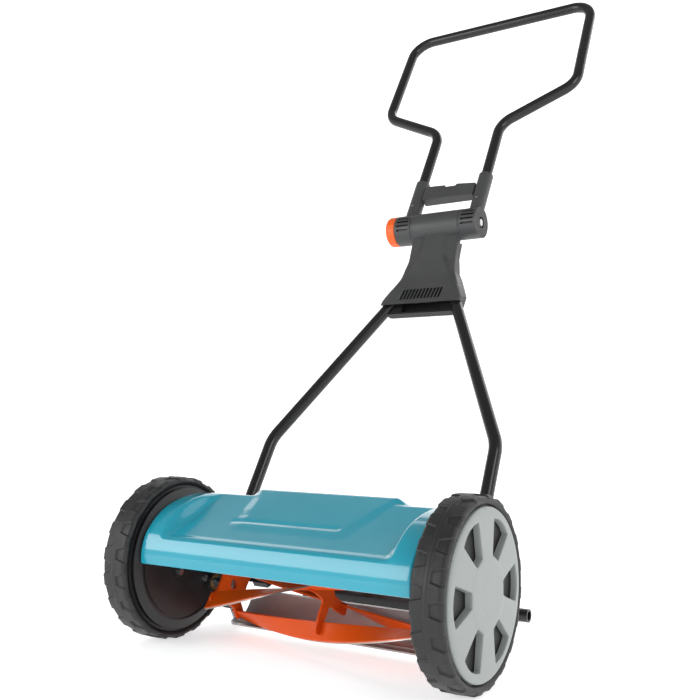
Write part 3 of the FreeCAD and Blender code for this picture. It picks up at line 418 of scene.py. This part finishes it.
COIL_R, WIRE_R, COIL_TURNS = 4.5, 0.78, 7.5
COIL_FOOT = (187.0, 97.0 + AXLE_Y / MM, 9.0)
COIL_LEAN = math.radians(30.0)


def spring_grid(side):
    """Turn along the wire by way round it: the wire's middle climbs a helix that closes at
    both ends, about a line that leans forwards."""
    turn = np.linspace(0.0, COIL_TURNS * 2 * np.pi, 420)[:, None]
    share = turn / turn.max()
    lift = 1.1 + 22.6 * np.clip((share - 0.09) / 0.82, 0, 1)
    round_wire = np.linspace(0, 2 * np.pi, 12, endpoint=False)[None, :]
    radius = COIL_R + WIRE_R * np.cos(round_wire)
    a, b = radius * np.cos(turn), radius * np.sin(turn)
    up = lift + WIRE_R * np.sin(round_wire)
    foot_x, foot_y, foot_z = COIL_FOOT
    return np.stack([side * foot_x + a,
                     foot_y - up * math.sin(COIL_LEAN) + b * math.cos(COIL_LEAN),
                     foot_z + up * math.cos(COIL_LEAN) + b * math.sin(COIL_LEAN)], -1)


skin("coil_springs", [closed_ends(spring_grid(side)) for side in (1, -1)], "chassis",
     ["adjuster_springs"], sprung, wrap_v=True)


# ---- Rear roller
# Pressed arms clamped between pivot and slot, a black moulded roller on nylon bushes, and a
# hollow axle whose black ends stand out on both sides.
roller_black = finish_of("roller_black", (0.015, 0.015, 0.016), (0.035, 0.035, 0.037),
                         (0.35, 0.5), grain=1.2, depth=0.05)
dress(powder_black, "left_roller_arm", "right_roller_arm", "roller_axle")
dress(roller_black, "rear_roller")
dress(zinc, "arm_pivot_bolts", "arm_lock_bolts")


# ---- Cover
# One turquoise moulding over the gears and the reel. Its ends keep the full arch, the front
# between them is pressed in flat from a crease up to the crest, and a pad stands on top.
COVER_WALL = 2.5
ENDS_FROM = 194.5            # the ends round off between here and one wall further out
CREASE_Z = 147.0             # where the pressed-in front begins
CREST_Y = 35.0               # where it meets the arch again
PANEL_HALF, PANEL_CORNER = 167.0, 13.0


def arc_through(a, b, c, count):
    """Points on the circle through three points of a plane, from the first to the last."""
    a, b, c = (np.array(p, float) for p in (a, b, c))
    rows = 2 * np.array([b - a, c - a])
    centre = np.linalg.solve(rows, [b @ b - a @ a, c @ c - a @ a])
    start, middle, end = (math.atan2(*(p - centre)[::-1]) for p in (a, b, c))
    swing = np.unwrap([start, middle, end])
    angle = np.linspace(swing[0], swing[2], count)
    return centre + np.hypot(*(a - centre)) * np.stack([np.cos(angle), np.sin(angle)], -1)


def cover_base(count):
    """The end outline, from the lip over the front to the rear edge, evenly spaced."""
    arcs = [arc_through((-87.0, 114.5), (-85.6, 135.5), (-77.0, 154.5), 60),
            arc_through((-77.0, 154.5), (-57.0, 174.0), (-26.0, 188.4), 60)[1:],
            arc_through((-26.0, 188.4), (0.0, 193.9), (26.0, 194.8), 60)[1:],
            arc_through((26.0, 194.8), (68.0, 188.5), (104.0, 172.0), 60)[1:]]
    return along(np.concatenate(arcs), count)


def smooth_least(a, b, blend):
    """The lesser of two values, rounded where they are nearer than the blend."""
    h = np.clip(0.5 + 0.5 * (b - a) / blend, 0.0, 1.0)
    return b * (1 - h) + a * h - blend * h * (1 - h)


def cover_grid():
    """Distance along the machine by way round the shell. The end outline gives way to the
    pressed-in chord inside a rounded rectangle, the pad adds its height where its top
    plane is over that, its flanks fall away at both sides, and a shallow groove crosses
    the front. The inside repeats the outside one wall in, and both meet halfway at the
    open ends."""
    half = np.concatenate([np.linspace(0, 80, 37)[:-1], np.linspace(80, 130, 41)[:-1],
                           np.linspace(130, 185, 40)[:-1], np.linspace(185, ENDS_FROM, 6)[:-1],
                           ENDS_FROM + COVER_WALL * np.sin(np.linspace(0, np.pi / 2, 6))])
    x = np.concatenate([-half[::-1], half[1:]])[:, None]
    base = cover_base(150)
    run = np.concatenate([[0.0], np.cumsum(np.hypot(*np.diff(base, axis=0).T))])
    by, bz = base[:, 0], base[:, 1]
    crease = run[np.argmin(np.abs(bz - CREASE_Z) + (by > 0) * 99)]
    meets = run[np.argmin(np.abs(by - CREST_Y))]
    share = np.clip((run - crease) / (meets - crease), 0, 1)
    between = (run > crease) & (run < meets)
    py = np.where(between, -75.7 + 110.7 * share, by)
    pz = np.where(between, 149.5 + 45.0 * share - 0.9 * np.sin(np.pi * share), bz)
    blur = np.exp(-np.linspace(-2, 2, 7) ** 2)
    blur /= blur.sum()
    py[3:-3], pz[3:-3] = np.convolve(py, blur, "valid"), np.convolve(pz, blur, "valid")
    past_x = np.abs(x) - (PANEL_HALF - PANEL_CORNER)
    past_run = (crease + PANEL_CORNER) - run[None, :]
    outside = np.hypot(np.maximum(past_x, 0), np.maximum(past_run, 0))
    outside = outside + np.minimum(np.maximum(past_x, past_run), 0)
    pressed = 1.0 - soft_step(outside - PANEL_CORNER, -8.0, 5.0)
    pressed = np.where(run[None, :] <= crease, 0.0, pressed)
    y = by[None, :] * (1 - pressed) + py[None, :] * pressed
    z = bz[None, :] * (1 - pressed) + pz[None, :] * pressed
    top = smooth_least(161.6 + (y + 45.0) * 0.437, 202.5 - (y - 48.6) * 0.506, 2.5)
    edge = np.interp(y, [-45, -13, 0, 28, 49, 60], [70, 76, 84, 93, 106.2, 107.0])
    fall = np.interp(y, [-45, 17, 49], [24, 15, 17.5])
    flank = 1.0 - soft_step(np.abs(x), edge - 1.5, edge + fall)
    raised = np.maximum(top - z, 0.0)
    raised = raised * soft_step(raised, 0.0, 0.8) * flank * soft_step(run, crease + 18, crease + 34)
    groove = np.exp(-((y + 26.0) / 3.2) ** 2) * soft_step(x, -98, -90) * (1 - soft_step(x, 63, 72))
    z = z + raised - 1.3 * groove * (z < 185)
    slope = np.stack([np.gradient(y, axis=1), np.gradient(z, axis=1)], -1)
    slope /= np.linalg.norm(slope, axis=-1, keepdims=True)
    outward = np.stack([-slope[..., 1], slope[..., 0]], -1)
    over = np.maximum(np.abs(x) - ENDS_FROM, 0) / COVER_WALL
    ending = COVER_WALL * (1 - np.sqrt(np.clip(1 - over ** 2, 0, 1)))
    outer = np.stack([y, z], -1) - outward * (ending * 0.8)[..., None]
    inner = np.stack([y, z], -1) - outward * COVER_WALL
    lip = 0.5 * (outer[:, :1] + inner[:, :1]) - slope[:, :1] * 0.9
    tail = 0.5 * (outer[:, -1:] + inner[:, -1:])
    middle = (outer + inner) / 2
    ring = np.concatenate([lip, outer, tail, inner[:, ::-1]], 1)
    wall = np.concatenate([lip, middle, tail, middle[:, ::-1]], 1)
    ring = np.concatenate([wall[:1], ring, wall[-1:]])
    wide = np.broadcast_to(np.concatenate([x[:1], x, x[-1:]]), ring.shape[:2])
    return np.stack([wide, ring[..., 0] + AXLE_Y / MM, ring[..., 1]], -1)


turquoise = finish_of("turquoise_gloss", (0.016, 0.37, 0.50), (0.022, 0.40, 0.53),
                      (0.16, 0.22), grain=2.2, depth=0.012, drift=90.0, specular=0.3,
                      coat=0.85, coat_rough=0.06, cover=0.5)
skin("mower_cover", cover_grid(), "chassis", ["cover"], turquoise, wrap_v=True,
     crease=50.0)


# ---- Lower handle tubes
# Two bent steel tubes, 18 mm across with a thin wall, powder coated gloss black and bolted
# to the side plates; they meet under the hinge.
def bent_line(corners, radius, gap=3.0):
    """Points along straight runs joined by tangent arcs of the radius given, in mm."""
    corners = [np.array(c, float) for c in corners]
    pieces, start = [], corners[0]
    for before, corner, after in zip(corners, corners[1:], corners[2:]):
        into = (corner - before) / np.linalg.norm(corner - before)
        out = (after - corner) / np.linalg.norm(after - corner)
        half = math.acos(float(np.clip(into @ out, -1, 1))) / 2
        back = radius * math.tan(half)
        first = corner - into * back
        inward = (out - into) / np.linalg.norm(out - into)
        centre = corner + inward * radius / math.cos(half)
        angle = np.linspace(0, 2 * half, max(3, int(2 * half * radius / gap)) + 1)[:, None]
        arc = centre + (first - centre) * np.cos(angle) + into * radius * np.sin(angle)
        steps = max(2, int(np.linalg.norm(first - start) / 12))
        pieces += [start + (first - start) * np.linspace(0, 1, steps)[:-1, None], arc]
        start = arc[-1]
    steps = max(2, int(np.linalg.norm(corners[-1] - start) / 12))
    pieces.append(start + (corners[-1] - start) * np.linspace(0, 1, steps)[1:, None])
    return np.concatenate(pieces)


TUBE_R, TUBE_WALL = 9.0, 1.5


def pipe(line, around=40):
    """Way along a flat bent line by way round it, out along the outside of the tube and
    back along its bore, with the outer edges of both ends eased."""
    along_line = np.gradient(line, axis=0)
    along_line /= np.linalg.norm(along_line, axis=1, keepdims=True)
    normal = np.cross(line[len(line) // 2] - line[0], line[-1] - line[0])
    normal /= np.linalg.norm(normal)
    side = np.cross(along_line, normal)
    angle = np.linspace(0, 2 * np.pi, around, endpoint=False)[None, :, None]
    ray = side[:, None] * np.cos(angle) + normal[None, None] * np.sin(angle)
    outer, inner = (line[:, None] + ray * r for r in (TUBE_R, TUBE_R - TUBE_WALL))
    eased = 0.35
    first, last = (line[end] + ray[end] * (TUBE_R - eased) for end in (0, -1))
    outer[0] += along_line[0] * eased
    outer[-1] -= along_line[-1] * eased
    return np.concatenate([first[None], outer, last[None], inner[::-1]])


tube_black = finish_of("tube_gloss_black", (0.010, 0.010, 0.011), (0.017, 0.017, 0.018),
                       (0.18, 0.28), grain=2.0, depth=0.03, drift=60.0, specular=0.3,
                       coat=0.3, coat_rough=0.06)
for side, label in ((1, "left"), (-1, "right")):
    lower = bent_line([(side * 188.3, 84.0 + AXLE_Y / MM, 108.8),
                       (side * 184.2, 173.8 + AXLE_Y / MM, 265.3),
                       (side * 42.0, 334.4 + AXLE_Y / MM, 500.8)], 60.0)
    skin("lower_tube_" + label, pipe(lower), "chassis", [label + "_lower_tube"],
         tube_black, wrap_u=True, wrap_v=True)


# ---- Hinge housing
# Two glass-filled nylon shells screwed together over the tops of the tubes, with a barrel
# for the clamp and a vent of twelve slots. The bracket, of the same nylon, turns on the
# clamp bolt at both ends of the barrel.
# The slots of housing and bracket are painted nearly black as painted shade.
HINGE_Y, HINGE_Z = (sum(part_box("clamp_bolt")[k][axis] for k in (0, 1)) / 2 for axis in (1, 2))
SLOTS, SLOT_PITCH, SLOT_HALF = 12, 6.0, 1.75
SHELL_WALL = 2.6
TUBE_PLANE = ([460.6, 512, 519.3, 526.6, 608], [307, 342.0, 346.6, 350.0, 382.0])


def housing_edge(z):
    """Half the width of the front shell at a height: a flare that narrows into the neck."""
    wide = np.interp(z, [476, 483, 498, 524, 550, 610], [70, 69.6, 61.8, 46.6, 41.8, 41.5])
    blur = np.exp(-np.linspace(-2, 2, 17) ** 2)
    padded = np.concatenate([np.full(8, wide[0]), wide, np.full(8, wide[-1])])
    return np.convolve(padded, blur / blur.sum(), "valid")


def housing_depth(x, z, edge):
    """How far the front stands off the plane of the tubes: a web, a panel that narrows
    upwards between two soft shoulders, a border that rounds away over the tubes, and a
    tray near the lower edge with twelve slanted slots in it."""
    across = np.abs(x)
    panel = np.interp(z, [476, 485, 506, 521, 536, 555, 587, 606],
                      [74, 71, 54, 42, 31, 21.5, 16.5, 16])
    rise = 1.0 - soft_step(across, panel - 1.5, panel + 5.0)
    web = np.interp(z, [476, 534, 548, 606], [12.9, 12.9, 10.2, 10.2])
    depth = web + (np.interp(z, [476, 526, 606], [17.2, 15.3, 15.0]) - web) * rise
    bend = np.interp(z, [476, 500, 520, 606], [13.0, 10.0, 3.5, 2.5])
    gone = np.clip(1.0 - (edge - across) / bend, 0.0, 1.0)
    depth = depth - 0.62 * bend * (1.0 - np.sqrt(1.0 - gone ** 2))
    tray_edge = np.interp(z, [480, 502], [41.5, 34.0])
    tray = soft_step(tray_edge - across, -0.4, 0.8) * soft_step(z, 481.0, 482.2)
    tray = tray * (1.0 - soft_step(z, 501.2, 502.4))
    lean = x - (z - 491.5) * 0.13
    first = -SLOT_PITCH * (SLOTS - 1) / 2
    number = np.clip(np.round((lean - first) / SLOT_PITCH), 0, SLOTS - 1)
    slot = soft_step(SLOT_HALF - np.abs(lean - number * SLOT_PITCH - first), -0.25, 0.25)
    slot = slot * soft_step(z, 483.2, 483.9) * (1.0 - soft_step(z, 499.6, 500.3))
    return depth - 1.3 * tray - 5.5 * slot, slot


def housing_front():
    """Height by way round the section of the shell: over the front from side to side, then
    back along the hollow inside, with a mark of 1 inside the slots, where the material paints
    shade."""
    z = np.concatenate([np.linspace(476, 480, 9)[:-1], np.linspace(480, 503, 58)[:-1],
                        np.linspace(503, 610, 72)])[:, None]
    edge = housing_edge(z[:, 0])[:, None]
    half = np.concatenate([np.linspace(0, 0.62, 112)[:-1], np.linspace(0.62, 0.9, 24)[:-1],
                           np.linspace(0.9, 1.0, 14)])
    x = np.concatenate([-half[::-1], half[1:]])[None, :] * edge
    depth, slot = housing_depth(x, z, edge)
    inner_x = np.linspace(1.0, -1.0, 61)[None, :] * (edge - SHELL_WALL)
    inner = np.minimum(7.2, 2.0 + (edge - SHELL_WALL - np.abs(inner_x)) * 1.5)
    foot = np.full(edge.shape, 0.3)
    ring_x = np.concatenate([x, edge, inner_x, -edge], 1)
    ring_depth = np.concatenate([depth, foot, inner, foot], 1)
    mark = np.concatenate([slot, np.zeros((len(z), ring_x.shape[1] - slot.shape[1]))], 1)
    y = np.interp(z, *TUBE_PLANE) - ring_depth + AXLE_Y / MM
    return np.stack([ring_x, y, np.broadcast_to(z, y.shape)], -1), mark


def housing_barrel():
    """Way along the barrel by way round it, with a fine groove near each end."""
    half = [(44.5, 0.0), (44.5, 24.4), (43.9, 25.0), (41.6, 25.0), (41.4, 24.5), (41.0, 24.5),
            (40.8, 25.0), (39.0, 25.0)]
    line = np.array([(-x, r) for x, r in half] + [(x, r) for x, r in half[::-1]])
    turn = np.linspace(0, 2 * np.pi, 181)[None, :-1]
    return round_axis(line[:, :1], line[:, 1:], turn, HINGE_Y, HINGE_Z)


def nylon_with_painted_slot_shade(name, radius=None):
    """Satin grey nylon with painted shade in its slots: nearly black where the slot mark is 1 or,
    when a radius is given in metres, nearer to the hinge axis than that, as in the bracket's slots."""
    material = finish_of(name, (0.052, 0.053, 0.054), (0.075, 0.076, 0.078), (0.38, 0.5),
                         grain=0.7, depth=0.03)
    tree = material.node_tree
    shader = tree.nodes["Principled BSDF"]
    if radius is None:
        mark = tree.nodes.new("ShaderNodeAttribute")
        mark.attribute_name = "slot"
        inside = mark.outputs["Fac"]
    else:
        place = tree.nodes.new("ShaderNodeTexCoord")
        flat = tree.nodes.new("ShaderNodeVectorMath")
        flat.operation = "MULTIPLY"
        flat.inputs[1].default_value = (0.0, 1.0, 1.0)
        away = tree.nodes.new("ShaderNodeVectorMath")
        away.operation = "DISTANCE"
        away.inputs[1].default_value = (0.0, HINGE_Y, HINGE_Z)
        tree.links.new(place.outputs["Object"], flat.inputs[0])
        tree.links.new(flat.outputs["Vector"], away.inputs[0])
        inside = spread(tree, away.outputs["Value"], radius, radius - 0.4 * MM, 0.0, 1.0)
    # near-black in the slots is painted shade, standing in for the shadow down in them
    paint = shader.inputs["Base Color"].links[0].from_socket
    tree.links.new(mix_of(tree, inside, paint, (0.006, 0.006, 0.006)),
                   shader.inputs["Base Color"])
    return material


front_shell, slot_mark = housing_front()
front_shell, slot_mark = closed_ends(front_shell), np.pad(slot_mark, ((1, 1), (0, 0)))
barrel = housing_barrel()
slot_mark = np.concatenate([slot_mark.ravel(), np.zeros(barrel.shape[:2]).ravel()])
# the slot mark tells the material where to paint shade in the vent slots
skin("hinge_front_shell", [front_shell, barrel], "chassis", ["hinge_housing"],
     nylon_with_painted_slot_shade("housing_nylon_painted_slot_shade"), wrap_v=True, crease=45.0, marks={"slot": slot_mark})
# the bracket's slots get painted shade from their distance to the hinge axis
dress(nylon_with_painted_slot_shade("bracket_nylon_painted_slot_shade", 24.4 * MM), "hinge_bracket")
dress(plate_black, "hinge_back_cover")
dress(zinc, "housing_screws", "tube_screws", "bracket_pins", "clamp_bolt", "knob_nut")


# ---- Upper handle
# One loop of the same tube, bent in four places and pinned into the sleeves of the bracket.
LOOP_LEAN = math.radians(31.0)


def on_loop(x, s):
    """Point of the handle's plane, s up from the hinge axis, in mm."""
    return (x, HINGE_Y / MM + s * math.sin(LOOP_LEAN), HINGE_Z / MM + s * math.cos(LOOP_LEAN))


corners = [(58.8, 30.0), (58.8, 226.0), (182.0, 295.5), (179.6, 506.0)]
corners = [on_loop(-x, s) for x, s in corners] + [on_loop(x, s) for x, s in corners[::-1]]
loop = bent_line(corners, 38.0)
skin("handle_loop_tube", pipe(loop), "upper_handle", ["handle_loop"],
     tube_black, wrap_u=True, wrap_v=True)


# ---- Clamp knob
# Bright orange moulding with shallow flutes, turned on the end of the clamp bolt.
knob_orange = finish_of("knob_orange", (0.94, 0.135, 0.008), (0.86, 0.11, 0.006), (0.34, 0.44),
                        grain=0.8, depth=0.02, drift=20.0)
angle = np.linspace(0, 2 * np.pi, 320, endpoint=False)[:, None]
section = along([(-74.0, 17.0), (-74.0, 23.8), (-75.0, 24.9), (-87.6, 24.9), (-89.6, 24.0),
                 (-90.8, 22.0), (-91.0, 19.5), (-90.2, 17.5), (-90.2, 0.0), (-86.5, 0.0),
                 (-86.5, 9.0), (-74.0, 9.0), (-74.0, 17.0)], 90)[:-1]
flute = 0.55 * np.exp(-((np.mod(angle, np.pi / 8) - np.pi / 16) / 0.055) ** 2)
flute = flute * soft_step(section[None, :, 1], 22.0, 24.5)
skin("clamp_knob_cap", round_axis(section[None, :, 0], section[None, :, 1] - flute, angle,
                                  HINGE_Y, HINGE_Z), "knob", ["clamp_knob"],
     knob_orange, wrap_u=True, wrap_v=True)


# ---- Ground and light
# A pale floor that runs up behind into a backdrop, three soft boxes and a bright room.
BEND_FROM, BEND_R = 9.0, 4.0


def backdrop():
    """Width by depth, in metres: flat on the ground, then a quarter circle up into a wall."""
    run = np.linspace(-30.0, 28.0, 233)
    bend = np.clip((run - BEND_FROM) / BEND_R, 0, np.pi / 2)
    y = np.where(run < BEND_FROM, run, BEND_FROM + BEND_R * np.sin(bend))
    z = BEND_R * (1 - np.cos(bend)) + np.maximum(run - BEND_FROM - BEND_R * np.pi / 2, 0)
    wide = np.linspace(-40.0, 40.0, 81)
    sheet = np.stack(np.broadcast_arrays(wide[:, None], y[None], z[None]), -1)
    mesh = bpy.data.meshes.new("studio_floor")
    mesh.from_pydata(sheet.reshape(-1, 3).tolist(), [], faces_of(sheet, 0, False, False).tolist())
    mesh.polygons.foreach_set("use_smooth", np.ones(len(mesh.polygons), bool))
    floor = bpy.data.objects.new("studio_floor", mesh)
    bpy.context.scene.collection.objects.link(floor)
    return floor


floor = backdrop()
paint = finish_of("studio_floor_paint", (0.95, 0.95, 0.95), (0.93, 0.93, 0.93), (0.7, 0.8),
                  grain=5.0, depth=0.02, drift=900.0)
glow = paint.node_tree.nodes["Principled BSDF"].inputs
glow["Emission Color"].default_value = (1, 1, 1, 1)
glow["Emission Strength"].default_value = 0.60
floor.data.materials.append(paint)


def soft_box(name, place, aim, size, watts):
    """Square area light at a place, turned to shine at a point."""
    lamp = bpy.data.lights.new(name, "AREA")
    lamp.shape, lamp.size, lamp.size_y, lamp.energy = "RECTANGLE", size[0], size[1], watts
    holder = bpy.data.objects.new(name, lamp)
    bpy.context.scene.collection.objects.link(holder)
    toward = np.array(aim, float) - np.array(place, float)
    holder.location = place
    holder.rotation_euler = (math.acos(-toward[2] / np.linalg.norm(toward)), 0.0,
                             math.atan2(toward[1], toward[0]) - math.pi / 2)
    return holder


# name, place, point it shines at, width and height in metres, watts
for lamp in (("soft_box_key", (-1.9, -2.6, 1.25), (0, -0.3, 0.2), (1.9, 1.5), 34),
             ("soft_box_side", (2.6, -0.9, 1.7), (0, 0, 0.3), (1.2, 1.6), 20),
             ("soft_box_back", (0.3, 2.6, 2.6), (0, 0, 0.4), (2.4, 1.2), 12)):
    soft_box(*lamp)
# the room is nearly white at the horizon and darker overhead
room = bpy.data.worlds.new("bright_room")
room.use_nodes = True
tree = room.node_tree
light = tree.nodes["Background"].inputs
light["Color"].default_value = (1.0, 1.0, 1.0, 1.0)
sky = tree.nodes.new("ShaderNodeTexCoord")
height = tree.nodes.new("ShaderNodeSeparateXYZ")
tree.links.new(sky.outputs["Generated"], height.inputs["Vector"])
tree.links.new(spread(tree, height.outputs["Z"], 0.10, 0.5, 0.92, 0.30), light["Strength"])
bpy.context.scene.world = room
bpy.context.scene.view_settings.view_transform = "Standard"


# ---- Camera
# A long lens from in front of the right-hand side of the machine, a little below the hinge.
eye = bpy.data.objects.new("camera", bpy.data.cameras.new("camera"))
bpy.context.scene.collection.objects.link(eye)
eye.location = (0.6558, -1.1997, 0.3171)
eye.rotation_euler = (math.radians(90 + 3.498), 0.0, math.radians(32.392))
eye.data.lens, eye.data.sensor_width = 46.13, 36.0
bpy.context.scene.camera = eye
